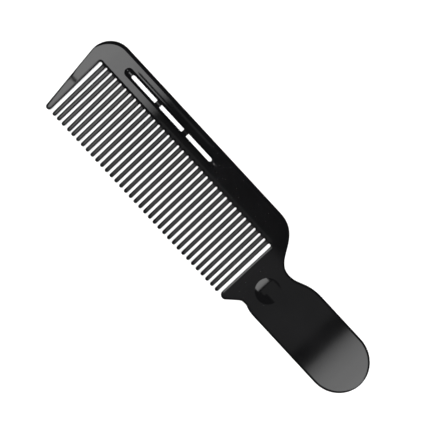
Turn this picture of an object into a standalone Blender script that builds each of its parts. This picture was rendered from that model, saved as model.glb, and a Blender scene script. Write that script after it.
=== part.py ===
"""Clipper comb with a paddle handle: one black moulding, modelled as its named sections.

+X runs from the toe to the end of the handle, +Y towards the outer edge of the spine and +Z up, out
of either face: both are alike. The origin lies under the middle of the comb, on the plane of its flat
underside. All lengths are in metres and all angles in degrees.
"""

import math

import bmesh
import bpy
from mathutils import Vector

# Overall size.
LENGTH = 0.2350
HEAD_WIDTH = 0.0550
PLATE = 0.0040
EDGE_RADIUS = 0.0012
EDGE_STEPS = 2

TOE_X = -LENGTH / 2
END_X = LENGTH / 2
SPINE_Y = HEAD_WIDTH / 2
TIP_Y = -HEAD_WIDTH / 2
MID_Z = PLATE / 2

# Teeth: all alike and evenly spaced, leaning slightly and tapering to round tips.
TOOTH_COUNT = 35
TOOTH_PITCH = 0.00387
FIRST_TOOTH_X = -0.1064
SPINE_DEPTH = 0.0157
TOOTH_LEAN = 0.58
TOOTH_ROOT_WIDTH = 0.00234
TOOTH_TIP_WIDTH = 0.00204
TOOTH_ROOT_THICKNESS = 0.0034
TOOTH_TIP_THICKNESS = 0.0020
ROOT_Y = SPINE_Y - SPINE_DEPTH

# Toe and the guard tooth in front of the teeth.
TOE_RADIUS = 0.0132
FRONT_LEAN = 7.6
GUARD_INNER_LEAN = 1.1
GUARD_INNER_X = -0.1098
GUARD_TIP_THICKNESS = 0.0026
GAP_CORNER_RADIUS = 0.0013

# Heel, the broad guard behind the teeth.
HEEL_X = 0.02865
HEEL_TIP_RADIUS = 0.0025
HEEL_BACK_ANGLE = 44.0
HEEL_BACK_END_X = 0.0378

# Neck: its narrowest points above and below.
SHOULDER_START_X = 0.0186
NECK_TOP = (0.0470, 0.0076)
NECK_BOTTOM = (0.0424, -0.0204)

# Handle.
HANDLE_WIDTH = 0.03445
HANDLE_Y = -0.0045
HANDLE_TOP_START_X = 0.0683
HANDLE_BOTTOM_START_X = 0.0497
HANDLE_END_REACH = 0.0182
HANDLE_TOP_Y = HANDLE_Y + HANDLE_WIDTH / 2
HANDLE_BOTTOM_Y = HANDLE_Y - HANDLE_WIDTH / 2

# Scooped channel along the spine on both faces, with a thin web and three windows through it.
CHANNEL_START_X = -0.0968
CHANNEL_END_X = -0.0244
CHANNEL_Y = 0.0189
CHANNEL_WIDTH = 0.0049
CHANNEL_STEPS = (0, 30, 55, 75)
WEB = 0.0016
WINDOW_Y = 0.0190
WINDOW_WIDTH = 0.0025
WINDOWS_START_X = -0.0921
WINDOWS_END_X = -0.0281
BRIDGE_CENTRES_X = (-0.0709, -0.0493)
BRIDGE_LENGTH = 0.0032

# Thumb rest: a shallow round dish in each face.
THUMB_CENTRE = (0.0455, -0.0066)
THUMB_RADIUS = 0.0073
THUMB_CURVE_RADIUS = 0.042
THUMB_SIDES = 32
THUMB_RINGS = 4

# Planes where one section of the moulding ends and the next begins.
GUARD_PLANE_Y = ROOT_Y - 0.0008
TOE_PLANE_X = WINDOWS_START_X + WINDOW_WIDTH / 2
REAR_PLANE_X = WINDOWS_END_X - WINDOW_WIDTH / 2
HEEL_PLANE_X = HEEL_X - 0.0011
NECK_PLANE_X = 0.0370
HANDLE_PLANE_X = HANDLE_TOP_START_X
END_PLANE_X = END_X - HANDLE_END_REACH

OVERSHOOT = 0.001
PLASTIC_BLACK = (0.012, 0.012, 0.013, 1.0)


def direction(angle):
    """Unit vector at an angle from +X."""
    return math.cos(math.radians(angle)), math.sin(math.radians(angle))


def arc(centre, radius_x, radius_y, start, end, steps):
    """Points on an ellipse's arc, both ends included."""
    points = []
    for step in range(steps + 1):
        along_x, along_y = direction(start + (end - start) * step / steps)
        points.append((centre[0] + radius_x * along_x, centre[1] + radius_y * along_y))
    return points


def bezier(start, start_handle, end_handle, end, steps):
    """Points on a cubic curve, both ends included."""
    points = []
    for step in range(steps + 1):
        t = step / steps
        weights = ((1 - t) ** 3, 3 * t * (1 - t) ** 2, 3 * t * t * (1 - t), t ** 3)
        corners = (start, start_handle, end_handle, end)
        x = sum(weight * corner[0] for weight, corner in zip(weights, corners))
        y = sum(weight * corner[1] for weight, corner in zip(weights, corners))
        points.append((x, y))
    return points


def guard_outline():
    """Front edge down from the toe, round the guard tooth's tip and up its inner edge."""
    front_slope = math.tan(math.radians(FRONT_LEAN))
    inner_slope = math.tan(math.radians(GUARD_INNER_LEAN))
    toe_centre = (TOE_X + TOE_RADIUS, SPINE_Y - TOE_RADIUS)
    lean_x, lean_y = direction(180 + FRONT_LEAN)
    front_x = toe_centre[0] + TOE_RADIUS * lean_x
    front_y = toe_centre[1] + TOE_RADIUS * lean_y
    outer_x_at_tip = front_x + (front_y - TIP_Y) * front_slope
    inner_x_at_tip = GUARD_INNER_X + (ROOT_Y - TIP_Y) * inner_slope
    outer_reach = 1 / math.cos(math.radians(FRONT_LEAN)) - front_slope
    inner_reach = 1 / math.cos(math.radians(GUARD_INNER_LEAN)) + inner_slope
    radius = (inner_x_at_tip - outer_x_at_tip) / (outer_reach + inner_reach)
    centre = (outer_x_at_tip + outer_reach * radius, TIP_Y + radius)
    tip = arc(centre, radius, radius, 180 + FRONT_LEAN, 360 + GUARD_INNER_LEAN, 8)
    corner_centre = (GUARD_INNER_X + GAP_CORNER_RADIUS, ROOT_Y - GAP_CORNER_RADIUS)
    corner = arc(corner_centre, GAP_CORNER_RADIUS, GAP_CORNER_RADIUS, 180, 90, 4)
    return tip + corner


def heel_outline():
    """Down the inner edge of the heel, round its tip and back up into the neck."""
    corner_centre = (HEEL_X - GAP_CORNER_RADIUS, ROOT_Y - GAP_CORNER_RADIUS)
    corner = arc(corner_centre, GAP_CORNER_RADIUS, GAP_CORNER_RADIUS, 90, 0, 4)
    tip_centre = (HEEL_X + HEEL_TIP_RADIUS, TIP_Y + HEEL_TIP_RADIUS)
    tip_end = 270 + HEEL_BACK_ANGLE
    tip = arc(tip_centre, HEEL_TIP_RADIUS, HEEL_TIP_RADIUS, 180, tip_end, 6)
    slope = math.tan(math.radians(HEEL_BACK_ANGLE))
    back_x, back_y = tip[-1]
    back_end = (HEEL_BACK_END_X, back_y + (HEEL_BACK_END_X - back_x) * slope)
    handle_x = 0.0009
    back_handle = (back_end[0] + handle_x, back_end[1] + handle_x * slope)
    hollow_handle = (NECK_BOTTOM[0] - 0.0030, NECK_BOTTOM[1])
    hollow = bezier(back_end, back_handle, hollow_handle, NECK_BOTTOM, 5)
    handle_start = (HANDLE_BOTTOM_START_X, HANDLE_BOTTOM_Y)
    wave_start = (NECK_BOTTOM[0] + 0.0016, NECK_BOTTOM[1])
    wave_end = (HANDLE_BOTTOM_START_X - 0.0044, HANDLE_BOTTOM_Y)
    wave = bezier(NECK_BOTTOM, wave_start, wave_end, handle_start, 4)
    return corner + tip + hollow + wave[1:]


def handle_outline():
    """Round the end of the handle and back along its top edge into the neck and shoulder."""
    end_centre = (END_X - HANDLE_END_REACH, HANDLE_Y)
    end = arc(end_centre, HANDLE_END_REACH, HANDLE_WIDTH / 2, -90, 90, 20)
    top_start = (HANDLE_TOP_START_X, HANDLE_TOP_Y)
    top_handle = (HANDLE_TOP_START_X - 0.0122, HANDLE_TOP_Y)
    neck_handle = (NECK_TOP[0] + 0.0075, NECK_TOP[1])
    rise = bezier(top_start, top_handle, neck_handle, NECK_TOP, 6)
    neck_other_handle = (NECK_TOP[0] - 0.0125, NECK_TOP[1])
    spine_handle = (SHOULDER_START_X + 0.0184, SPINE_Y)
    spine_end = (SHOULDER_START_X, SPINE_Y)
    shoulder = bezier(NECK_TOP, neck_other_handle, spine_handle, spine_end, 10)
    return end + rise + shoulder[1:]


def toe_outline():
    """Round the toe's corner from the spine's edge to the front edge."""
    centre = (TOE_X + TOE_RADIUS, SPINE_Y - TOE_RADIUS)
    return arc(centre, TOE_RADIUS, TOE_RADIUS, 90, 180 + FRONT_LEAN, 9)


def obround(start_x, end_x, centre_y, width, steps=8):
    """Outline of a slot along X with round ends."""
    radius = width / 2
    right = arc((end_x - radius, centre_y), radius, radius, -90, 90, steps)
    left = arc((start_x + radius, centre_y), radius, radius, 90, 270, steps)
    return right + left


def loft(rings):
    """Closed bmesh through rings of equal length, each an anticlockwise outline at a height."""
    bm = bmesh.new()
    loops = [[bm.verts.new((x, y, height)) for x, y in outline] for outline, height in rings]
    bm.faces.new(list(reversed(loops[0])))
    bm.faces.new(loops[-1])
    for lower, upper in zip(loops, loops[1:]):
        for index in range(len(lower)):
            after = (index + 1) % len(lower)
            bm.faces.new((lower[index], lower[after], upper[after], upper[index]))
    return bm


def prism(outline, low, high):
    """Closed bmesh between two heights over an anticlockwise outline."""
    return loft([(outline, low), (outline, high)])


def upside_down(rings):
    """Rings of a hollow in the top face, turned into one in the underside."""
    return [(outline, PLATE - height) for outline, height in reversed(rings)]


def channel_rings():
    """The channel in the top face, scooped out from its floor up past the face."""
    depth = (PLATE - WEB) / 2
    lowest = direction(CHANNEL_STEPS[-1])[1]
    rings = []
    for angle in reversed(CHANNEL_STEPS):
        across, down = direction(angle)
        margin = CHANNEL_WIDTH / 2 * (1 - across)
        outline = obround(
            CHANNEL_START_X + margin,
            CHANNEL_END_X - margin,
            CHANNEL_Y,
            CHANNEL_WIDTH - 2 * margin,
        )
        rings.append((outline, PLATE - depth * down / lowest))
    rings.append((outline, PLATE + OVERSHOOT))
    return rings


def dish_rings():
    """The thumb dish in the top face, from its middle out to its rim."""
    flat = math.sqrt(THUMB_CURVE_RADIUS ** 2 - THUMB_RADIUS ** 2)
    rings = []
    for ring in range(1, THUMB_RINGS + 1):
        radius = THUMB_RADIUS * ring / THUMB_RINGS
        depth = math.sqrt(THUMB_CURVE_RADIUS ** 2 - radius ** 2) - flat
        circle = arc(THUMB_CENTRE, radius, radius, 0, 360, THUMB_SIDES)[:-1]
        rings.append((circle, PLATE - depth))
    return rings


def rim_share(point):
    """Share of the edge rounding at a point: none along the tooth roots, all elsewhere."""
    x, y = point
    if not GUARD_INNER_X - 1e-6 < x < HEEL_X + 1e-6:
        return 1.0
    if y < ROOT_Y - GAP_CORNER_RADIUS or y > ROOT_Y + GAP_CORNER_RADIUS:
        return 1.0
    return (ROOT_Y - y) / GAP_CORNER_RADIUS


def inset(outline, distance):
    """The outline moved inwards by a distance, or by the share of it that each point takes."""
    moved = []
    for index, (x, y) in enumerate(outline):
        before_x, before_y = outline[index - 1]
        after_x, after_y = outline[(index + 1) % len(outline)]
        length_in = math.hypot(x - before_x, y - before_y)
        length_out = math.hypot(after_x - x, after_y - y)
        normal_in = ((y - before_y) / length_in, (before_x - x) / length_in)
        normal_out = ((after_y - y) / length_out, (x - after_x) / length_out)
        cosine = normal_in[0] * normal_out[0] + normal_in[1] * normal_out[1]
        reach = distance * rim_share((x, y)) / (1 + cosine)
        move_x = (normal_in[0] + normal_out[0]) * reach
        move_y = (normal_in[1] + normal_out[1]) * reach
        moved.append((x - move_x, y - move_y))
    return moved


def rounded_plate(outline):
    """Closed bmesh of the plate over an outline, with the rims of both faces rounded."""
    lower_rings = []
    for step in range(EDGE_STEPS + 1):
        across, up = direction(90 * step / EDGE_STEPS)
        lower_rings.append((EDGE_RADIUS * (1 - up), EDGE_RADIUS * (1 - across)))
    upper_rings = [(distance, PLATE - height) for distance, height in reversed(lower_rings)]
    rings = [(inset(outline, distance), height) for distance, height in lower_rings + upper_rings]
    bm = loft(rings)
    bm.normal_update()
    bmesh.ops.triangulate(bm, faces=bm.faces)
    return bm


def temporary_object(bm, name):
    """Object holding a bmesh, for use as a Boolean's target or cutter."""
    mesh = bpy.data.meshes.new(name)
    bm.to_mesh(mesh)
    bm.free()
    item = bpy.data.objects.new(name, mesh)
    bpy.context.scene.collection.objects.link(item)
    return item


def cut(target_bm, *cutter_bms):
    """The target less each cutter, as a new triangulated bmesh."""
    target = temporary_object(target_bm, "uncut")
    cutters = [temporary_object(cutter_bm, "cutter") for cutter_bm in cutter_bms]
    for cutter in cutters:
        cutter.hide_render = True
        cutter.display_type = "WIRE"
        boolean = target.modifiers.new("cut", "BOOLEAN")
        boolean.operation = "DIFFERENCE"
        boolean.solver = "EXACT"
        boolean.object = cutter
    graph = bpy.context.evaluated_depsgraph_get()
    result = bmesh.new()
    result.from_mesh(target.evaluated_get(graph).to_mesh())
    for item in [target, *cutters]:
        bpy.data.objects.remove(item, do_unlink=True)
    result.normal_update()
    bmesh.ops.triangulate(result, faces=result.faces)
    return result


def keep_side(bm, point, normal):
    """Cut with a plane, drop what lies on the normal's side and close the cut."""
    geometry = bm.verts[:] + bm.edges[:] + bm.faces[:]
    cut_geometry = bmesh.ops.bisect_plane(
        bm,
        geom=geometry,
        dist=1e-8,
        plane_co=point,
        plane_no=normal,
        clear_outer=True,
    )
    edges = [item for item in cut_geometry["geom_cut"] if isinstance(item, bmesh.types.BMEdge)]
    bmesh.ops.edgeloop_fill(bm, edges=edges)


def section(bm, x_from=None, x_to=None, y_from=None, y_to=None):
    """Copy of the part of a bmesh that lies between the given planes."""
    piece = bm.copy()
    if x_from is not None:
        keep_side(piece, (x_from, 0, 0), (-1, 0, 0))
    if x_to is not None:
        keep_side(piece, (x_to, 0, 0), (1, 0, 0))
    if y_from is not None:
        keep_side(piece, (0, y_from, 0), (0, -1, 0))
    if y_to is not None:
        keep_side(piece, (0, y_to, 0), (0, 1, 0))
    return piece


def plastic(name, roughness):
    """Black plastic of the given roughness."""
    material = bpy.data.materials.new(name)
    material.use_nodes = True
    shader = material.node_tree.nodes["Principled BSDF"]
    shader.inputs["Base Color"].default_value = PLASTIC_BLACK
    shader.inputs["Roughness"].default_value = roughness
    shader.inputs["Metallic"].default_value = 0.0
    return material


def add_part(name, bm, roughness=0.15):
    """Give a bmesh its own named object and material, with its origin at its middle."""
    bmesh.ops.remove_doubles(bm, verts=bm.verts, dist=1e-7)
    bmesh.ops.recalc_face_normals(bm, faces=bm.faces)
    middle = sum((vert.co for vert in bm.verts), Vector()) / len(bm.verts)
    bmesh.ops.translate(bm, verts=bm.verts, vec=-middle)
    mesh = bpy.data.meshes.new(name)
    bm.to_mesh(mesh)
    bm.free()
    mesh.materials.append(plastic(name + "_plastic", roughness))
    part = bpy.data.objects.new(name, mesh)
    part.location = middle
    bpy.context.scene.collection.objects.link(part)
    return part


def make_blanks():
    """The whole body without teeth: channelled, and again with the windows' slot cut too."""
    outline = guard_outline() + heel_outline() + handle_outline() + toe_outline()
    above = loft(channel_rings())
    below = loft(upside_down(channel_rings()))
    channelled = cut(rounded_plate(outline), above, below)
    slot = obround(WINDOWS_START_X, WINDOWS_END_X, WINDOW_Y, WINDOW_WIDTH)
    slotted = cut(channelled.copy(), prism(slot, -OVERSHOOT, PLATE + OVERSHOOT))
    return channelled, slotted


def taper_guard(bm):
    """Thin the guard tooth evenly from its root to its tip."""
    for vert in bm.verts:
        share = min(max((GUARD_PLANE_Y - vert.co.y) / (GUARD_PLANE_Y - TIP_Y), 0.0), 1.0)
        factor = 1 - share * (1 - GUARD_TIP_THICKNESS / PLATE)
        vert.co.z = MID_Z + (vert.co.z - MID_Z) * factor


def tooth_mesh():
    """One tooth standing at X = 0: eight-sided, tapering in width and thickness, with a round tip."""
    tip_reach = TOOTH_TIP_WIDTH / 2
    free_length = ROOT_Y - TIP_Y
    lean = math.tan(math.radians(TOOTH_LEAN))
    stations = [(ROOT_Y, 1.0), (ROOT_Y - free_length / 2, 1.0), (TIP_Y + tip_reach, 1.0)]
    for angle in (35, 65):
        along, shrink = math.sin(math.radians(angle)), math.cos(math.radians(angle))
        stations.append((TIP_Y + tip_reach * (1 - along), shrink))
    bm = bmesh.new()
    rings = []
    for y, shrink in stations:
        share = (ROOT_Y - y) / free_length
        width = TOOTH_ROOT_WIDTH + (TOOTH_TIP_WIDTH - TOOTH_ROOT_WIDTH) * share
        thickness = TOOTH_ROOT_THICKNESS + (TOOTH_TIP_THICKNESS - TOOTH_ROOT_THICKNESS) * share
        half_x = width / 2 * shrink
        half_z = thickness / 2 * (0.4 + 0.6 * shrink)
        flat_x, flat_z = half_x * 0.35, half_z * 0.55
        corners = [
            (half_x, flat_z), (flat_x, half_z), (-flat_x, half_z), (-half_x, flat_z),
            (-half_x, -flat_z), (-flat_x, -half_z), (flat_x, -half_z), (half_x, -flat_z),
        ]
        middle_x = (ROOT_Y - y) * lean
        rings.append([bm.verts.new((middle_x + x, y, MID_Z + z)) for x, z in corners])
    bm.faces.new(rings[0])
    bm.faces.new(list(reversed(rings[-1])))
    for upper, lower in zip(rings, rings[1:]):
        for side in range(len(upper)):
            after = (side + 1) % len(upper)
            bm.faces.new((upper[side], upper[after], lower[after], lower[side]))
    bmesh.ops.recalc_face_normals(bm, faces=bm.faces)
    return bm


def build_spine(channelled, slotted):
    """Toe, the two rails beside the channel, the bridges between windows, and the rear part."""
    add_part("spine_toe", section(slotted, x_to=TOE_PLANE_X, y_from=GUARD_PLANE_Y))
    between = section(slotted, x_from=TOE_PLANE_X, x_to=REAR_PLANE_X)
    add_part("spine_outer_rail", section(between, y_from=WINDOW_Y))
    add_part("spine_tooth_rail", section(between, y_to=WINDOW_Y))
    between.free()
    for number, centre_x in enumerate(BRIDGE_CENTRES_X, start=1):
        bridge = section(
            channelled,
            x_from=centre_x - BRIDGE_LENGTH / 2,
            x_to=centre_x + BRIDGE_LENGTH / 2,
            y_from=WINDOW_Y - WINDOW_WIDTH / 2,
            y_to=WINDOW_Y + WINDOW_WIDTH / 2,
        )
        add_part(f"window_bridge_{number}", bridge)
    add_part("spine_rear", section(slotted, x_from=REAR_PLANE_X, x_to=HEEL_PLANE_X))


def build_guards(channelled):
    """Guard tooth in front of the teeth, and the heel behind them."""
    front = section(channelled, x_to=FIRST_TOOTH_X, y_to=GUARD_PLANE_Y)
    taper_guard(front)
    add_part("front_guard_tooth", front)
    add_part("heel_guard", section(channelled, x_from=HEEL_PLANE_X, x_to=NECK_PLANE_X))


def build_handle(channelled):
    """Neck, the dished thumb rest that fills a round hole in it, and the handle."""
    neck = section(channelled, x_from=NECK_PLANE_X, x_to=HANDLE_PLANE_X)
    circle = arc(THUMB_CENTRE, THUMB_RADIUS, THUMB_RADIUS, 0, 360, THUMB_SIDES)[:-1]
    add_part("neck", cut(neck, prism(circle, -OVERSHOOT, PLATE + OVERSHOOT)))
    dish = dish_rings()
    underside = [(outline, PLATE - height) for outline, height in dish]
    add_part("thumb_rest", loft(underside + dish[::-1]))
    add_part("handle", section(channelled, x_from=HANDLE_PLANE_X, x_to=END_PLANE_X))
    add_part("handle_end", section(channelled, x_from=END_PLANE_X))


def build_teeth():
    """The row of teeth, numbered from the toe."""
    for number in range(TOOTH_COUNT):
        bm = tooth_mesh()
        bmesh.ops.translate(bm, verts=bm.verts, vec=(FIRST_TOOTH_X + number * TOOTH_PITCH, 0, 0))
        add_part(f"tooth_{number + 1:02d}", bm, roughness=0.2)


def main():
    for item in list(bpy.data.objects):
        bpy.data.objects.remove(item, do_unlink=True)
    channelled, slotted = make_blanks()
    build_spine(channelled, slotted)
    build_guards(channelled)
    build_handle(channelled)
    build_teeth()
    channelled.free()
    slotted.free()


main()
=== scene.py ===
"""Looks of the clipper comb: one seamless gloss-black moulding on a white table under soft light.

The comb is one mesh. Its outline follows the CAD nodes; rings step in from the outline to round every
edge, and the faces between the rings are filled with triangle nets that also carry the thumb dishes,
the scooped channel and a shallow hollow along the outer rail. All lengths are in metres.
"""

import math

import bpy
import numpy as np
from mathutils.geometry import delaunay_2d_cdt
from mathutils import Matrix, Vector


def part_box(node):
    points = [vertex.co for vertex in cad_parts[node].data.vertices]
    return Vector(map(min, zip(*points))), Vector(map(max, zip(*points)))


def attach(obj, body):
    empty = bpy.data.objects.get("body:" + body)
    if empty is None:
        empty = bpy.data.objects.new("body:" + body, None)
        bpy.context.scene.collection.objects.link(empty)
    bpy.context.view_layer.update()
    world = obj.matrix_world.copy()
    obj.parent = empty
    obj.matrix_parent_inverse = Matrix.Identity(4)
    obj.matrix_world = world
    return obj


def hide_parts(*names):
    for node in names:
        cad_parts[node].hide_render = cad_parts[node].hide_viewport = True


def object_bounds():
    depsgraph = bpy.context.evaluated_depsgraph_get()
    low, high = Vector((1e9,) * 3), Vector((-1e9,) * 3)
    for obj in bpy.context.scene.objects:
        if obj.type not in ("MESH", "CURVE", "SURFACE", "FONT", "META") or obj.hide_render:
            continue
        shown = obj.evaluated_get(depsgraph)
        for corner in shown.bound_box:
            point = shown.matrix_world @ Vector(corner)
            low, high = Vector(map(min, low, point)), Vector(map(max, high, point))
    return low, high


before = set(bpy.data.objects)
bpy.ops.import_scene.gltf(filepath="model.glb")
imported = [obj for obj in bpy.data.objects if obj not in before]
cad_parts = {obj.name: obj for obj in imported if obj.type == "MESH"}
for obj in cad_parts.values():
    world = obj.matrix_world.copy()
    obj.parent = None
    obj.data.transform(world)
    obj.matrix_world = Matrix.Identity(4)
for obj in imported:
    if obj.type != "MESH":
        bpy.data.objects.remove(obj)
cad_low, cad_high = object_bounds()

MM = 0.001

# Places taken from the CAD nodes.
TOE_X, END_X = cad_low.x, cad_high.x
TIP_Y, SPINE_Y = cad_low.y, cad_high.y
PLATE = cad_high.z
MID_Z = PLATE / 2
TOOTH_COUNT = sum(name.startswith("tooth_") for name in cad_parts)
FIRST_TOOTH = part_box("tooth_01")
LAST_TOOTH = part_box(f"tooth_{TOOTH_COUNT}")
TOOTH_PITCH = (LAST_TOOTH[0].x - FIRST_TOOTH[0].x) / (TOOTH_COUNT - 1)
ROOT_Y = FIRST_TOOTH[1].y
BRIDGES = [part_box("window_bridge_1"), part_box("window_bridge_2")]
WINDOW_LOW_Y, WINDOW_HIGH_Y = BRIDGES[0][0].y, BRIDGES[0][1].y
WINDOW_WIDTH = WINDOW_HIGH_Y - WINDOW_LOW_Y
WINDOW_INTO_SPINE = 1.3 * MM
WINDOWS_START_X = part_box("spine_toe")[1].x - WINDOW_INTO_SPINE
WINDOWS_END_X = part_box("spine_rear")[0].x + WINDOW_INTO_SPINE
THUMB_LOW, THUMB_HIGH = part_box("thumb_rest")
THUMB_X, THUMB_Y = (THUMB_LOW.x + THUMB_HIGH.x) / 2, (THUMB_LOW.y + THUMB_HIGH.y) / 2
THUMB_RADIUS = (THUMB_HIGH.x - THUMB_LOW.x) / 2
HANDLE_LOW, HANDLE_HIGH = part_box("handle")
HANDLE_TOP_Y, HANDLE_BOTTOM_Y = HANDLE_HIGH.y, HANDLE_LOW.y
HANDLE_Y = (HANDLE_TOP_Y + HANDLE_BOTTOM_Y) / 2
HANDLE_TOP_START_X = HANDLE_LOW.x
HANDLE_END_REACH = END_X - HANDLE_HIGH.x

# Teeth: width, lean from the spine's normal, and how far the tips of two bent ones stray, by index.
TOOTH_ROOT_WIDTH = 2.34 * MM
TOOTH_TIP_WIDTH = 2.04 * MM
TOOTH_LEAN = math.tan(math.radians(0.58))
FIRST_TOOTH_X = FIRST_TOOTH[0].x + TOOTH_ROOT_WIDTH / 2
LAST_TOOTH_X = LAST_TOOTH[0].x + TOOTH_ROOT_WIDTH / 2
BENT_TEETH = {0: 0.35 * MM, 3: 0.45 * MM}

# Outline between those places.
TOE_RADIUS = 13.2 * MM
FRONT_LEAN = 7.6
GUARD_INNER_LEAN = 1.1
GUARD_INNER_X = -109.8 * MM
HEEL_X = 28.65 * MM
HEEL_TIP_RADIUS = 2.5 * MM
HEEL_BACK_ANGLE = 44.0
HEEL_BACK_END_X = 37.8 * MM
SHOULDER_START_X = 18.6 * MM
NECK_TOP = (47.0 * MM, 7.6 * MM)
NECK_BOTTOM = (42.4 * MM, -20.4 * MM)
HANDLE_BOTTOM_START_X = 49.7 * MM
# Lengths of the handles of the curves between heel, neck, handle and spine.
HEEL_BACK_HANDLE = 0.9 * MM
NECK_BOTTOM_HANDLE_TO_HEEL = 3.0 * MM
NECK_BOTTOM_HANDLE_TO_END = 1.6 * MM
HANDLE_BOTTOM_HANDLE = 4.4 * MM
HANDLE_TOP_HANDLE = 12.2 * MM
NECK_TOP_HANDLE_TO_END = 7.5 * MM
NECK_TOP_HANDLE_TO_SPINE = 12.5 * MM
SHOULDER_HANDLE = 18.4 * MM

# Fineness of the outline: steps on each round stretch, and the length of a step on straight ones.
GAP_ROOT_STEPS = 12
TOOTH_TIP_STEPS = 14
GUARD_TIP_STEPS = 18
HEEL_TIP_STEPS = 18
HOLLOW_STEPS = 14
WAVE_STEPS = 12
HANDLE_END_STEPS = 60
RISE_STEPS = 20
SHOULDER_STEPS = 34
TOE_STEPS = 28
CHANNEL_END_STEPS = 24
WINDOW_CORNER_STEPS = 7
STRAIGHT_STEP = 1.6 * MM
SAME_POINT = 0.0001 * MM

# How far outside an edge a point still counts as belonging to a tooth or a gap.
TOOTH_SIDE_MARGIN = 0.05 * MM
ROOT_MARGIN = 0.1 * MM
GUARD_SIDE_MARGIN = 0.02 * MM
HEEL_SIDE_MARGIN = 0.01 * MM
HEEL_GAP_MARGIN = 1.2 * MM

# Half thickness of the moulding away from the plate.
TOOTH_ROOT_HALF = 1.70 * MM
TOOTH_TIP_HALF = 1.0 * MM
GUARD_TAPER = 0.35 * MM
GUARD_STEP = 0.31 * MM
GUARD_STEP_Y = (-9.5 * MM, -1.5 * MM)
ROOT_BLEND = 1.6 * MM

# Edges: how much fuller the outline is than the CAD's, and how far the rounding reaches into the face.
EDGE_FULLNESS = 0.13 * MM
RIM_TOOTH_LEFT = 0.08 * MM
RIM_FRONT = 1.0 * MM
RIM_FRONT_END_Y = SPINE_Y - 1.0 * MM
RIM_SPINE = 2.1 * MM
RIM_HANDLE = 1.15 * MM
RIM_HANDLE_Y = (14.5 * MM, 24.5 * MM)
RIM_WINDOW = 0.22 * MM
RIM_MOST_DROP = 0.9
# The rounding's tilt in degrees, row by row from the face out to the side wall, and what share of the
# reach lies inside each tilt: the teeth have a narrow crown with steeper flanks.
RIM_TILTS = (0, 6, 12, 18, 25, 32, 38, 44, 60, 90)
BODY_ROUNDING = ((0, 0.0), (44, 0.97), (90, 1.0))
TOOTH_ROUNDING = ((0, 0.0), (32, 0.30), (44, 0.96), (90, 1.0))
WINDOW_ROUNDING = ((0, 0.0), (44, 0.6), (90, 1.0))

# Channel: scooped out of both faces, with a small rounding at its edge. The edge lies lower than the
# face around it, and the net slopes down to it. CHANNEL_RIM holds each row's offset and drop.
CHANNEL_START_X = -96.8 * MM
CHANNEL_END_X = -24.4 * MM
CHANNEL_Y = 18.9 * MM
CHANNEL_HALF_WIDTH = 2.45 * MM
CHANNEL_DEPTH = 1.2 * MM
CHANNEL_EDGE_HALF = 1.49 * MM
CHANNEL_RIM = ((0.20 * MM, 0.0), (0.10 * MM, 0.02 * MM), (0.03 * MM, 0.09 * MM))
CHANNEL_ANGLES = (8, 15, 22, 30, 39, 48)
WINDOW_CORNER = 0.45 * MM

# Thumb dish in both faces, and the shallow hollow along the outer rail of the top face.
THUMB_CURVE_RADIUS = 42.0 * MM
SINK_INNER_Y, SINK_Y, SINK_OUTER_Y = 21.4 * MM, 23.9 * MM, 25.4 * MM
SINK_DEPTH = 0.075 * MM
SINK_FADE_IN = 8 * MM
SINK_FADE_OUT = 20 * MM

# Studio: the panels' plane, their brightness and how it fades in from the near edge.
PANEL_HEIGHT = 400 * MM
PANEL_RADIANCE = 3.9
PANEL_FADE = (
    (0.0, 0.30),
    (2.5 * MM, 0.12),
    (5.0 * MM, 0.12),
    (8.5 * MM, 0.12),
    (13.0 * MM, 0.12),
    (20.0 * MM, 0.08),
    (32.0 * MM, 0.07),
    (55.0 * MM, 0.07),
)
PANEL_LAYER_GAP = 0.1 * MM
# Name, edge near the comb, far edge, and lowest and highest Y.
PANELS = (
    ("toe_panel", -97 * MM, -590 * MM, -58 * MM, 62 * MM),
    ("handle_panel", 133 * MM, 600 * MM, -88 * MM, 64 * MM),
)
CARD_RADIANCE = 0.21
# Name, lowest and highest X, and lowest and highest Y.
CARDS = (
    ("card_low", -90 * MM, 117 * MM, -120 * MM, 15 * MM),
    ("card_high", 60 * MM, 117 * MM, 15 * MM, 45 * MM),
)
TABLE_LIGHT_RADIANCE = 360.0
TABLE_LIGHT_HEIGHT = 8.0
TABLE_LIGHT_SIZE = 0.8
TABLE_HALF = 1.2
TABLE_DROP = 0.02 * MM

# Camera: where it stands, how it is turned, and how wide a strip it sees on the comb's top face.
CAMERA_PLACE = (-4.95 * MM, 0.44 * MM, 0.9)
CAMERA_TURN = 47.22
CAMERA_SEES = 235.8 * MM
SENSOR_WIDTH = 36.0

# Nets over the faces: spacing of their points, and how far they keep from the rings.
GRID = 1.6 * MM
GRID_CLEARANCE = 0.55 * MM
THUMB_CLEARANCE = 1.0 * MM
GUARD_CLEARANCE = 0.3 * MM
SCOOP_CLEARANCE = 0.18 * MM
THUMB_SHARES = (0.14, 0.28, 0.42, 0.56, 0.7, 0.84, 0.95)
THUMB_RIM_OFFSETS = (-0.08 * MM, 0.08 * MM, 0.5 * MM)
THUMB_STEPS = 72
GUARD_ROWS = 16
GUARD_PAST_STEP = 0.6 * MM
GUARD_GRID = 0.9 * MM
SINK_ROWS = 11
SINK_COLUMNS = 60
SINK_LEAD = 1 * MM
SCOOP_SHARES = (-0.56, -0.3, 0.0, 0.3, 0.56)
SCOOP_GRID = 0.5 * MM
SLOPE_STEP = 0.01 * MM


def direction(angle):
    """Unit vector at an angle in degrees from +X."""
    return math.cos(math.radians(angle)), math.sin(math.radians(angle))


def arc(centre, radius_x, radius_y, start, end, steps):
    """Points on an ellipse's arc, both ends included."""
    points = []
    for step in range(steps + 1):
        along_x, along_y = direction(start + (end - start) * step / steps)
        points.append((centre[0] + radius_x * along_x, centre[1] + radius_y * along_y))
    return points


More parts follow.
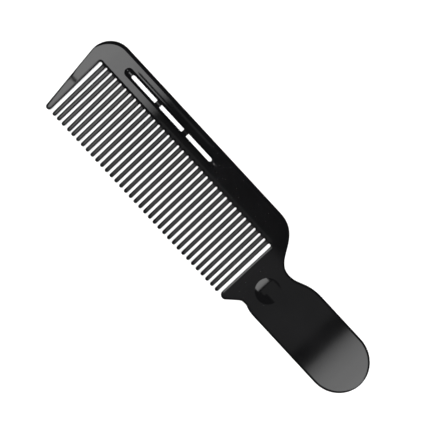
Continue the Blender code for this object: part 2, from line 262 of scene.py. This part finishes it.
def bezier(start, start_handle, end_handle, end, steps):
    """Points on a cubic curve, both ends included."""
    points = []
    for step in range(steps + 1):
        t = step / steps
        weights = ((1 - t) ** 3, 3 * t * (1 - t) ** 2, 3 * t * t * (1 - t), t ** 3)
        corners = (start, start_handle, end_handle, end)
        x = sum(weight * corner[0] for weight, corner in zip(weights, corners))
        y = sum(weight * corner[1] for weight, corner in zip(weights, corners))
        points.append((x, y))
    return points


def smooth(value, low, high):
    """Smooth step from 0 at low to 1 at high, for numbers or arrays."""
    share = np.clip((np.asarray(value, float) - low) / (high - low), 0.0, 1.0)
    return share * share * (3 - 2 * share)


def fill_in(points):
    """The closed outline with its long straight runs divided into even steps."""
    dense = []
    for index, (x, y) in enumerate(points):
        after_x, after_y = points[(index + 1) % len(points)]
        length = math.hypot(after_x - x, after_y - y)
        if length < SAME_POINT:
            continue
        pieces = max(1, round(length / STRAIGHT_STEP))
        for piece in range(pieces):
            share = piece / pieces
            dense.append((x + (after_x - x) * share, y + (after_y - y) * share))
    return dense


def guard_outline():
    """Front edge down from the toe, round the guard tooth's tip and up its inner edge."""
    front_slope = math.tan(math.radians(FRONT_LEAN))
    inner_slope = math.tan(math.radians(GUARD_INNER_LEAN))
    toe_centre = (TOE_X + TOE_RADIUS, SPINE_Y - TOE_RADIUS)
    lean_x, lean_y = direction(180 + FRONT_LEAN)
    front_x = toe_centre[0] + TOE_RADIUS * lean_x
    front_y = toe_centre[1] + TOE_RADIUS * lean_y
    outer_x_at_tip = front_x + (front_y - TIP_Y) * front_slope
    inner_x_at_tip = GUARD_INNER_X + (ROOT_Y - TIP_Y) * inner_slope
    outer_reach = 1 / math.cos(math.radians(FRONT_LEAN)) - front_slope
    inner_reach = 1 / math.cos(math.radians(GUARD_INNER_LEAN)) + inner_slope
    radius = (inner_x_at_tip - outer_x_at_tip) / (outer_reach + inner_reach)
    centre = (outer_x_at_tip + outer_reach * radius, TIP_Y + radius)
    return arc(centre, radius, radius, 180 + FRONT_LEAN, 360 + GUARD_INNER_LEAN, GUARD_TIP_STEPS)


def gap_root(left_x, right_x):
    """Rounded root of the gap between two teeth, from its left side to its right."""
    radius = (right_x - left_x) / 2
    centre = ((left_x + right_x) / 2, ROOT_Y - radius)
    return arc(centre, radius, radius, 180, 0, GAP_ROOT_STEPS)


def teeth_outline():
    """The row of teeth and the rounded gaps between them, from the toe to the heel."""
    points = []
    left_x = GUARD_INNER_X
    tip_radius = TOOTH_TIP_WIDTH / 2
    for number in range(TOOTH_COUNT):
        x = FIRST_TOOTH_X + number * TOOTH_PITCH
        points += gap_root(left_x, x - TOOTH_ROOT_WIDTH / 2)
        centre = (x, TIP_Y + tip_radius)
        points += arc(centre, tip_radius, tip_radius, 180, 360, TOOTH_TIP_STEPS)
        left_x = x + TOOTH_ROOT_WIDTH / 2
    return points + gap_root(left_x, HEEL_X)


def down_tooth(y):
    """0 at the root line and above, 1 at the tips."""
    return np.clip((ROOT_Y - y) / (ROOT_Y - TIP_Y), 0.0, 1.0)


def lean(plan):
    """The outline with every tooth leaning over, and the bent ones bent."""
    x, y = plan[:, 0], plan[:, 1]
    number = np.round((x - FIRST_TOOTH_X) / TOOTH_PITCH)
    reach = TOOTH_ROOT_WIDTH / 2 + TOOTH_SIDE_MARGIN
    in_row = (x > FIRST_TOOTH_X - reach) & (x < LAST_TOOTH_X + reach)
    shift = TOOTH_LEAN * (ROOT_Y - TIP_Y) * down_tooth(y)
    for bent, bend in BENT_TEETH.items():
        shift = shift + np.where(number == bent, bend * down_tooth(y) ** 2, 0.0)
    leaned = plan.copy()
    leaned[:, 0] += np.where(in_row, shift, 0.0)
    return leaned


def heel_outline():
    """Round the heel's tip and back up into the neck and the handle's lower edge."""
    tip_centre = (HEEL_X + HEEL_TIP_RADIUS, TIP_Y + HEEL_TIP_RADIUS)
    tip_end = 270 + HEEL_BACK_ANGLE
    tip = arc(tip_centre, HEEL_TIP_RADIUS, HEEL_TIP_RADIUS, 180, tip_end, HEEL_TIP_STEPS)
    slope = math.tan(math.radians(HEEL_BACK_ANGLE))
    back_x, back_y = tip[-1]
    back_end = (HEEL_BACK_END_X, back_y + (HEEL_BACK_END_X - back_x) * slope)
    back_handle = (back_end[0] + HEEL_BACK_HANDLE, back_end[1] + HEEL_BACK_HANDLE * slope)
    hollow_handle = (NECK_BOTTOM[0] - NECK_BOTTOM_HANDLE_TO_HEEL, NECK_BOTTOM[1])
    hollow = bezier(back_end, back_handle, hollow_handle, NECK_BOTTOM, HOLLOW_STEPS)
    handle_start = (HANDLE_BOTTOM_START_X, HANDLE_BOTTOM_Y)
    wave_start = (NECK_BOTTOM[0] + NECK_BOTTOM_HANDLE_TO_END, NECK_BOTTOM[1])
    wave_end = (HANDLE_BOTTOM_START_X - HANDLE_BOTTOM_HANDLE, HANDLE_BOTTOM_Y)
    wave = bezier(NECK_BOTTOM, wave_start, wave_end, handle_start, WAVE_STEPS)
    return tip + hollow + wave[1:]


def handle_outline():
    """Round the end of the handle and back along its top edge into the neck and shoulder."""
    end_centre = (END_X - HANDLE_END_REACH, HANDLE_Y)
    half_width = (HANDLE_TOP_Y - HANDLE_BOTTOM_Y) / 2
    end = arc(end_centre, HANDLE_END_REACH, half_width, -90, 90, HANDLE_END_STEPS)
    top_start = (HANDLE_TOP_START_X, HANDLE_TOP_Y)
    top_handle = (HANDLE_TOP_START_X - HANDLE_TOP_HANDLE, HANDLE_TOP_Y)
    neck_handle = (NECK_TOP[0] + NECK_TOP_HANDLE_TO_END, NECK_TOP[1])
    rise = bezier(top_start, top_handle, neck_handle, NECK_TOP, RISE_STEPS)
    neck_other_handle = (NECK_TOP[0] - NECK_TOP_HANDLE_TO_SPINE, NECK_TOP[1])
    spine_handle = (SHOULDER_START_X + SHOULDER_HANDLE, SPINE_Y)
    spine_end = (SHOULDER_START_X, SPINE_Y)
    shoulder = bezier(NECK_TOP, neck_other_handle, spine_handle, spine_end, SHOULDER_STEPS)
    return end + rise + shoulder[1:]


def toe_outline():
    """Round the toe's corner from the spine's edge to the front edge."""
    centre = (TOE_X + TOE_RADIUS, SPINE_Y - TOE_RADIUS)
    return arc(centre, TOE_RADIUS, TOE_RADIUS, 90, 180 + FRONT_LEAN, TOE_STEPS)


def obround(start_x, end_x, centre_y, width):
    """Anticlockwise outline of a slot along X with round ends."""
    radius = width / 2
    right = arc((end_x - radius, centre_y), radius, radius, -90, 90, CHANNEL_END_STEPS)
    left = arc((start_x + radius, centre_y), radius, radius, 90, 270, CHANNEL_END_STEPS)
    return fill_in(right + left)


def window_outline(start_x, end_x, start_round, end_round):
    """Clockwise outline of a window, each end round or square with small corners."""
    half = WINDOW_WIDTH / 2
    start_radius = half if start_round else WINDOW_CORNER
    end_radius = half if end_round else WINDOW_CORNER
    top, bottom = WINDOW_HIGH_Y, WINDOW_LOW_Y
    corners = (
        ((start_x + start_radius, top - start_radius), start_radius, 180, 90),
        ((end_x - end_radius, top - end_radius), end_radius, 90, 0),
        ((end_x - end_radius, bottom + end_radius), end_radius, 0, -90),
        ((start_x + start_radius, bottom + start_radius), start_radius, -90, -180),
    )
    points = []
    for centre, radius, start, end in corners:
        points += arc(centre, radius, radius, start, end, WINDOW_CORNER_STEPS)
    return fill_in(points)


def windows():
    """Outlines of the three windows between the bridges."""
    starts = [WINDOWS_START_X] + [bridge[1].x for bridge in BRIDGES]
    ends = [bridge[0].x for bridge in BRIDGES] + [WINDOWS_END_X]
    last = len(starts) - 1
    return [
        window_outline(starts[index], ends[index], index == 0, index == last)
        for index in range(len(starts))
    ]


def left_normals(points):
    """Mitred unit normals to the left of a closed outline, scaled to keep an even distance."""
    before = points - np.roll(points, 1, axis=0)
    after = np.roll(points, -1, axis=0) - points
    before /= np.linalg.norm(before, axis=1, keepdims=True)
    after /= np.linalg.norm(after, axis=1, keepdims=True)
    normal_before = np.stack([-before[:, 1], before[:, 0]], axis=1)
    normal_after = np.stack([-after[:, 1], after[:, 0]], axis=1)
    cosine = (normal_before * normal_after).sum(axis=1, keepdims=True)
    return (normal_before + normal_after) / (1 + cosine)


def in_teeth(x, y):
    """1 among the teeth, 0 elsewhere, blended at the roots."""
    in_row = (x > FIRST_TOOTH_X - TOOTH_PITCH / 2) & (x < HEEL_X - HEEL_GAP_MARGIN)
    return np.where(in_row, 1 - smooth(y, ROOT_Y - ROOT_BLEND, ROOT_Y + ROOT_BLEND), 0.0)


def half_thickness(x, y):
    """Half the moulding's thickness at a point of the plan."""
    tooth = TOOTH_ROOT_HALF + (TOOTH_TIP_HALF - TOOTH_ROOT_HALF) * down_tooth(y)
    guard = MID_Z - GUARD_STEP * (1 - smooth(y, *GUARD_STEP_Y)) - GUARD_TAPER * down_tooth(y) ** 2
    body = np.where(x < FIRST_TOOTH_X - TOOTH_PITCH / 2, guard, MID_Z)
    return body + (tooth - body) * in_teeth(x, y)


def on_tooth_edge(x, y):
    """Whether outline points belong to a tooth or to the gap between two."""
    in_row = (x > GUARD_INNER_X + GUARD_SIDE_MARGIN) & (x < HEEL_X - HEEL_SIDE_MARGIN)
    return in_row & (y < ROOT_Y + ROOT_MARGIN)


def rim_reach(x, y):
    """How far the edge's rounding reaches in from a point of the outline."""
    tooth_width = TOOTH_ROOT_WIDTH + (TOOTH_TIP_WIDTH - TOOTH_ROOT_WIDTH) * down_tooth(y)
    tooth_side = tooth_width / 2 - RIM_TOOTH_LEFT
    front = RIM_FRONT + (RIM_SPINE - RIM_FRONT) * smooth(y, ROOT_Y, RIM_FRONT_END_Y)
    handle = RIM_HANDLE + (RIM_SPINE - RIM_HANDLE) * smooth(y, *RIM_HANDLE_Y)
    return np.where(on_tooth_edge(x, y), tooth_side, np.where(x < 0, front, handle))


def rim_rows(rounding):
    """Share of the reach and drop per unit of reach at each tilt, from the face outwards."""
    tilts = np.radians(RIM_TILTS)
    knots = np.radians([tilt for tilt, share in rounding])
    shares = np.interp(np.sin(tilts), np.sin(knots), [share for tilt, share in rounding])
    steps = np.diff(shares) * np.tan((tilts[1:] + tilts[:-1]) / 2)
    return shares, np.concatenate([[0.0], np.cumsum(steps)])


def dish(x, y):
    """Depth of the thumb dish below the face."""
    radius = np.hypot(x - THUMB_X, y - THUMB_Y)
    rim = math.sqrt(THUMB_CURVE_RADIUS ** 2 - THUMB_RADIUS ** 2)
    bowl = np.sqrt(np.maximum(THUMB_CURVE_RADIUS ** 2 - radius ** 2, 0.0)) - rim
    return np.maximum(bowl, 0.0)


def sink(x, y):
    """Depth of the shallow hollow that runs along the outer rail."""
    across = smooth(y, SINK_INNER_Y, SINK_Y) * (1 - smooth(y, SINK_Y, SINK_OUTER_Y))
    fade_in = smooth(x, CHANNEL_START_X, CHANNEL_START_X + SINK_FADE_IN)
    fade_out = 1 - smooth(x, CHANNEL_END_X - SINK_FADE_OUT, CHANNEL_END_X)
    return SINK_DEPTH * across * fade_in * fade_out


def face_height(x, y, side):
    """Height of the faces above the mid-plane: side is 1 above and -1 below."""
    height = half_thickness(x, y) - dish(x, y)
    if side > 0:
        return height - sink(x, y)
    return height


def scoop_height(x, y, side):
    """Height of the channel's hollow floor from the mid-plane, the same on both sides."""
    half_width = CHANNEL_HALF_WIDTH
    along = np.clip(x, CHANNEL_START_X + half_width, CHANNEL_END_X - half_width)
    across = np.hypot(x - along, y - CHANNEL_Y) / half_width
    return MID_Z - CHANNEL_DEPTH * np.sqrt(np.maximum(1 - across ** 2, 0.0))


def closed_edges(rings):
    """Index pairs along closed rings whose points are listed one ring after another."""
    edges = []
    start = 0
    for ring in rings:
        count = len(ring)
        edges += [(start + index, start + (index + 1) % count) for index in range(count)]
        start += count
    return edges


class Moulding:
    """Vertices and faces of the comb while it is being put together.

    surfaces remembers which height function and side each vertex of a net belongs to.
    """

    def __init__(self):
        self.points = []
        self.faces = []
        self.surfaces = {}

    def ring(self, plan, heights):
        """Add a closed row of vertices at heights over the mid-plane."""
        start = len(self.points)
        for (x, y), height in zip(plan, heights):
            self.points.append((x, y, height))
        return list(range(start, start + len(plan)))

    def join(self, outer, inner, side):
        """Quads between two rings of equal length."""
        count = len(outer)
        for index in range(count):
            after = (index + 1) % count
            quad = (outer[index], outer[after], inner[after], inner[index])
            self.faces.append(quad if side > 0 else quad[::-1])

    def fill(self, rings, extra, height, side):
        """Net of triangles inside the first ring and outside the others, through extra points."""
        ids = [vertex for ring in rings for vertex in ring]
        plan = [self.points[vertex][:2] for vertex in ids]
        edges = closed_edges(rings)
        for x, y in extra:
            ids.append(len(self.points))
            self.points.append((x, y, side * float(height(x, y, side))))
            plan.append((x, y))
        in_mm = [(x / MM, y / MM) for x, y in plan]
        result = delaunay_2d_cdt(in_mm, edges, [], 0, 1e-6)
        made, triangles, sources = result[0], result[2], result[3]
        if len(made) != len(plan):
            raise ValueError(f"the net has {len(made)} points for {len(plan)}")
        back = [ids[source[0]] for source in sources]
        corners = np.array([[made[index][:] for index in triangle] for triangle in triangles])
        keep = inside(corners.mean(axis=1), np.array(in_mm), edges)
        for triangle, kept in zip(triangles, keep):
            if kept:
                face = tuple(back[index] for index in triangle)
                self.faces.append(face if side > 0 else face[::-1])
        for vertex in ids:
            self.surfaces[vertex] = (height, side)


def inside(centres, plan, edges):
    """Whether each point lies inside the closed outlines, by counting crossings."""
    start = plan[[edge[0] for edge in edges]]
    end = plan[[edge[1] for edge in edges]]
    crossings = np.zeros(len(centres), int)
    for index, (x, y) in enumerate(centres):
        spans = (start[:, 1] > y) != (end[:, 1] > y)
        low, high = start[spans], end[spans]
        at = low[:, 0] + (y - low[:, 1]) * (high[:, 0] - low[:, 0]) / (high[:, 1] - low[:, 1])
        crossings[index] = np.count_nonzero(at > x)
    return crossings % 2 == 1


def clear_of(points, rings, work, clearance):
    """The points that lie inside the first ring, outside the others and clear of them all."""
    plan = np.array([work.points[vertex][:2] for ring in rings for vertex in ring])
    points = np.array(points)
    points = points[inside(points, plan, closed_edges(rings))]
    clear = []
    for x, y in points:
        if np.hypot(plan[:, 0] - x, plan[:, 1] - y).min() > clearance:
            clear.append((x, y))
    return clear


def face_points():
    """Triangular grid of points over the face, leaving out the thumb dish and the rail's hollow."""
    points = []
    row_step = GRID * math.sqrt(0.75)
    for row, y in enumerate(np.arange(TIP_Y, SPINE_Y, row_step)):
        for x in np.arange(TOE_X + (row % 2) * GRID / 2, END_X, GRID):
            on_sink = SINK_INNER_Y < y < SINK_OUTER_Y and x < CHANNEL_END_X
            from_thumb = math.hypot(x - THUMB_X, y - THUMB_Y) - THUMB_RADIUS
            on_thumb = from_thumb < THUMB_CLEARANCE
            if not on_sink and not on_thumb:
                points.append((x, y))
    return points


def thumb_points():
    """Rings of points over the thumb dish, close together at its rim."""
    points = [(THUMB_X, THUMB_Y)]
    radii = [THUMB_RADIUS * share for share in THUMB_SHARES]
    radii += [THUMB_RADIUS + offset for offset in THUMB_RIM_OFFSETS]
    for radius in radii:
        steps = THUMB_STEPS if radius > THUMB_RADIUS / 2 else THUMB_STEPS // 2
        points += arc((THUMB_X, THUMB_Y), radius, radius, 0, 360, steps)[:-1]
    return points


def guard_points():
    """Close rows of points across the step in the front guard tooth."""
    points = []
    low_y, high_y = GUARD_STEP_Y
    for y in np.linspace(low_y - GUARD_PAST_STEP, high_y + GUARD_PAST_STEP, GUARD_ROWS):
        for x in np.arange(TOE_X, FIRST_TOOTH_X, GUARD_GRID):
            points.append((x, y))
    return points


def sink_points():
    """Rows of points along the hollow in the outer rail."""
    points = []
    for y in np.linspace(SINK_INNER_Y, SINK_OUTER_Y, SINK_ROWS):
        for x in np.linspace(CHANNEL_START_X - SINK_LEAD, CHANNEL_END_X, SINK_COLUMNS):
            points.append((x, y))
    return points


def scoop_points():
    """Rows of points along the channel's floor."""
    points = []
    for y in CHANNEL_Y + CHANNEL_HALF_WIDTH * np.array(SCOOP_SHARES):
        for x in np.arange(CHANNEL_START_X, CHANNEL_END_X, SCOOP_GRID):
            points.append((x, y))
    return points


def edge_rows(work, plan, middle, reaches, shares, drops, halves, side):
    """Round one outline's edge on one side and return the innermost row."""
    normals = left_normals(plan)
    squeeze = np.minimum(RIM_MOST_DROP * halves / (reaches * drops[:, -1]), 1.0)
    previous = middle
    for row in reversed(range(len(RIM_TILTS))):
        moved = plan + normals * (reaches * (1 - shares[:, row]))[:, None]
        heights = halves - reaches * drops[:, row] * squeeze
        ring = work.ring(moved, side * heights)
        work.join(previous, ring, side)
        previous = ring
    return previous


def channel_rows(work, side):
    """Lay the channel's rim and steep sides on one side, and return the first and the last row."""
    rows = [(CHANNEL_HALF_WIDTH + offset, drop) for offset, drop in CHANNEL_RIM]
    for angle in CHANNEL_ANGLES:
        across, down = direction(angle)
        rows.append((CHANNEL_HALF_WIDTH * across, CHANNEL_DEPTH * down))
    rings = []
    for reach, drop in rows:
        grow = reach - CHANNEL_HALF_WIDTH
        start_x, end_x = CHANNEL_START_X - grow, CHANNEL_END_X + grow
        plan = obround(start_x, end_x, CHANNEL_Y, 2 * reach)
        heights = np.full(len(plan), side * (CHANNEL_EDGE_HALF - drop))
        rings.append(work.ring(plan, heights))
    for outer, inner in zip(rings, rings[1:]):
        work.join(outer, inner, side)
    return rings[0], rings[-1]


def build_moulding():
    """The comb's vertices and faces, built up from its outlines."""
    work = Moulding()
    outline = guard_outline() + teeth_outline() + heel_outline() + handle_outline() + toe_outline()
    bare_edge = lean(np.array(fill_in(outline)))
    comb_edge = bare_edge - left_normals(bare_edge) * EDGE_FULLNESS
    bare_windows = [np.array(window) for window in windows()]
    window_edges = [plan - left_normals(plan) * EDGE_FULLNESS for plan in bare_windows]
    middles = [work.ring(plan, np.zeros(len(plan))) for plan in [comb_edge] + window_edges]
    body, tooth, window = map(rim_rows, (BODY_ROUNDING, TOOTH_ROUNDING, WINDOW_ROUNDING))
    x, y = bare_edge[:, 0], bare_edge[:, 1]
    toothed = on_tooth_edge(x, y)[:, None]
    shares, drops = (np.where(toothed, tooth[part], body[part]) for part in (0, 1))
    comb_halves = half_thickness(x, y)
    comb_reaches = rim_reach(x, y) + EDGE_FULLNESS
    for side in (1, -1):
        comb_face = edge_rows(
            work, comb_edge, middles[0], comb_reaches, shares, drops, comb_halves, side
        )
        window_faces = []
        for plan, middle in zip(window_edges, middles[1:]):
            inner = plan + left_normals(plan) * RIM_WINDOW
            halves = scoop_height(inner[:, 0], inner[:, 1], side)
            reaches = np.full(len(plan), RIM_WINDOW)
            count = (len(plan), 1)
            rows = (np.tile(window[0], count), np.tile(window[1], count))
            window_faces.append(edge_rows(work, plan, middle, reaches, *rows, halves, side))
        channel_edge, channel_floor = channel_rows(work, side)
        rings = [comb_face, channel_edge]
        extra = clear_of(face_points(), rings, work, GRID_CLEARANCE) + thumb_points()
        extra += clear_of(guard_points(), rings, work, GUARD_CLEARANCE)
        if side > 0:
            extra += clear_of(sink_points(), rings, work, SCOOP_CLEARANCE)
        work.fill(rings, extra, face_height, side)
        rings = [channel_floor] + window_faces
        extra = clear_of(scoop_points(), rings, work, SCOOP_CLEARANCE)
        work.fill(rings, extra, scoop_height, side)
    return work


def own_normals(work, mesh):
    """Vertex normals: averaged on the roundings, taken from the surface's slope in the nets."""
    count = len(mesh.vertices)
    normals = np.zeros(count * 3)
    mesh.vertex_normals.foreach_get("vector", normals)
    normals = normals.reshape(-1, 3)
    step = SLOPE_STEP
    for vertex, (height, side) in work.surfaces.items():
        x, y = work.points[vertex][:2]
        slope_x = (height(x + step, y, side) - height(x - step, y, side)) / (2 * step)
        slope_y = (height(x, y + step, side) - height(x, y - step, side)) / (2 * step)
        normal = np.array([-slope_x, -slope_y, side])
        normals[vertex] = normal / np.linalg.norm(normal)
    return normals


def make_comb():
    """The moulding as an object in the row frame."""
    work = build_moulding()
    points = np.array(work.points)
    points[:, 2] += MID_Z
    mesh = bpy.data.meshes.new("comb_moulding")
    mesh.from_pydata(points.tolist(), [], work.faces)
    mesh.update()
    mesh.shade_smooth()
    mesh.normals_split_custom_set_from_vertices(own_normals(work, mesh).tolist())
    comb = bpy.data.objects.new("comb_moulding", mesh)
    bpy.context.scene.collection.objects.link(comb)
    return comb


def gloss_black():
    """Polished black plastic, slightly wavy, with uneven gloss."""
    material = bpy.data.materials.new("gloss_black_plastic")
    material.use_nodes = True
    tree = material.node_tree
    nodes, links = tree.nodes, tree.links
    shader = nodes["Principled BSDF"]
    shader.inputs["IOR"].default_value = 1.5
    place = nodes.new("ShaderNodeTexCoord")

    cloud = nodes.new("ShaderNodeTexNoise")
    cloud.inputs["Scale"].default_value = 45.0
    cloud.inputs["Detail"].default_value = 4.0
    links.new(place.outputs["Object"], cloud.inputs["Vector"])

    tint = nodes.new("ShaderNodeValToRGB")
    tint.color_ramp.elements[0].position = 0.35
    tint.color_ramp.elements[0].color = (0.0030, 0.0030, 0.0033, 1.0)
    tint.color_ramp.elements[1].position = 0.7
    tint.color_ramp.elements[1].color = (0.0042, 0.0042, 0.0046, 1.0)
    links.new(cloud.outputs["Fac"], tint.inputs["Fac"])
    links.new(tint.outputs["Color"], shader.inputs["Base Color"])

    gloss = nodes.new("ShaderNodeMapRange")
    gloss.inputs["From Min"].default_value = 0.3
    gloss.inputs["From Max"].default_value = 0.75
    gloss.inputs["To Min"].default_value = 0.055
    gloss.inputs["To Max"].default_value = 0.085
    links.new(cloud.outputs["Fac"], gloss.inputs["Value"])
    links.new(gloss.outputs["Result"], shader.inputs["Roughness"])

    ripple = nodes.new("ShaderNodeTexNoise")
    ripple.inputs["Scale"].default_value = 70.0
    ripple.inputs["Detail"].default_value = 1.0
    links.new(place.outputs["Object"], ripple.inputs["Vector"])
    bump = nodes.new("ShaderNodeBump")
    bump.inputs["Strength"].default_value = 1.0
    bump.inputs["Distance"].default_value = 0.00001
    links.new(ripple.outputs["Fac"], bump.inputs["Height"])
    links.new(bump.outputs["Normal"], shader.inputs["Normal"])
    return material


def make_floor():
    """White table."""
    half = TABLE_HALF
    mesh = bpy.data.meshes.new("table")
    corners = [(-half, -half, 0), (half, -half, 0), (half, half, 0), (-half, half, 0)]
    mesh.from_pydata(corners, [], [(0, 1, 2, 3)])
    floor = bpy.data.objects.new("table", mesh)
    floor.location.z = -TABLE_DROP
    bpy.context.scene.collection.objects.link(floor)
    material = bpy.data.materials.new("white_table")
    material.use_nodes = True
    shader = material.node_tree.nodes["Principled BSDF"]
    shader.inputs["Base Color"].default_value = (0.86, 0.86, 0.86, 1.0)
    shader.inputs["Roughness"].default_value = 0.9
    shader.inputs["Specular IOR Level"].default_value = 0.0
    mesh.materials.append(material)


def area_light(name, place, size_x, size_y, radiance):
    """Rectangular light that faces straight down and that the camera doesn't see."""
    data = bpy.data.lights.new(name, "AREA")
    data.shape = "RECTANGLE"
    data.size = size_x
    data.size_y = size_y
    data.energy = radiance * math.pi * size_x * size_y
    light = bpy.data.objects.new(name, data)
    bpy.context.scene.collection.objects.link(light)
    light.location = place
    light.visible_camera = False
    return light


def soft_panel(name, near_x, far_x, low_y, high_y):
    """Level light panel overhead, fading towards its edge near the comb.

    It is a stack of rectangles that share their far edge and step back from the near one.
    """
    far_side = 1 if far_x > near_x else -1
    for layer, (step_back, share) in enumerate(PANEL_FADE):
        edge = near_x + far_side * step_back
        middle = (edge + far_x) / 2
        size_x, size_y = abs(far_x - edge), high_y - low_y
        centre = (middle, (low_y + high_y) / 2, PANEL_HEIGHT + layer * PANEL_LAYER_GAP)
        area_light(f"{name}_{layer}", centre, size_x, size_y, PANEL_RADIANCE * share)


def make_lights():
    """Two soft panels past the comb's ends, dim cards between them, and light for the table."""
    for panel in PANELS:
        soft_panel(*panel)
    for name, low_x, high_x, low_y, high_y in CARDS:
        centre = ((low_x + high_x) / 2, (low_y + high_y) / 2, PANEL_HEIGHT)
        area_light(name, centre, high_x - low_x, high_y - low_y, CARD_RADIANCE)
    place = (0.0, 0.0, TABLE_LIGHT_HEIGHT)
    size = TABLE_LIGHT_SIZE
    table = area_light("table_light", place, size, size, TABLE_LIGHT_RADIANCE)
    table.visible_glossy = False


def make_world():
    """Pale backdrop for the camera, dark surroundings for reflections."""
    world = bpy.data.worlds.new("studio")
    bpy.context.scene.world = world
    world.use_nodes = True
    nodes, links = world.node_tree.nodes, world.node_tree.links
    back = nodes["Background"]
    path = nodes.new("ShaderNodeLightPath")
    mix = nodes.new("ShaderNodeMixShader")
    dark = nodes.new("ShaderNodeBackground")
    dark.inputs["Color"].default_value = (0.02, 0.02, 0.02, 1.0)
    back.inputs["Color"].default_value = (1.0, 1.0, 1.0, 1.0)
    back.inputs["Strength"].default_value = 1.0
    links.new(path.outputs["Is Camera Ray"], mix.inputs["Fac"])
    links.new(dark.outputs["Background"], mix.inputs[1])
    links.new(back.outputs["Background"], mix.inputs[2])
    links.new(mix.outputs["Shader"], nodes["World Output"].inputs["Surface"])


def make_camera():
    """Camera looking straight down, turned so that the comb lies across the picture."""
    data = bpy.data.cameras.new("camera")
    data.sensor_width = SENSOR_WIDTH
    data.lens = SENSOR_WIDTH * (CAMERA_PLACE[2] - PLATE) / CAMERA_SEES
    camera = bpy.data.objects.new("camera", data)
    bpy.context.scene.collection.objects.link(camera)
    camera.location = CAMERA_PLACE
    camera.rotation_euler = (0.0, 0.0, math.radians(CAMERA_TURN))
    bpy.context.scene.camera = camera


comb = make_comb()
comb.data.materials.append(gloss_black())
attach(comb, "root")
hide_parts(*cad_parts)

make_floor()
make_lights()
make_world()
make_camera()
bpy.context.scene.view_settings.view_transform = "Standard"
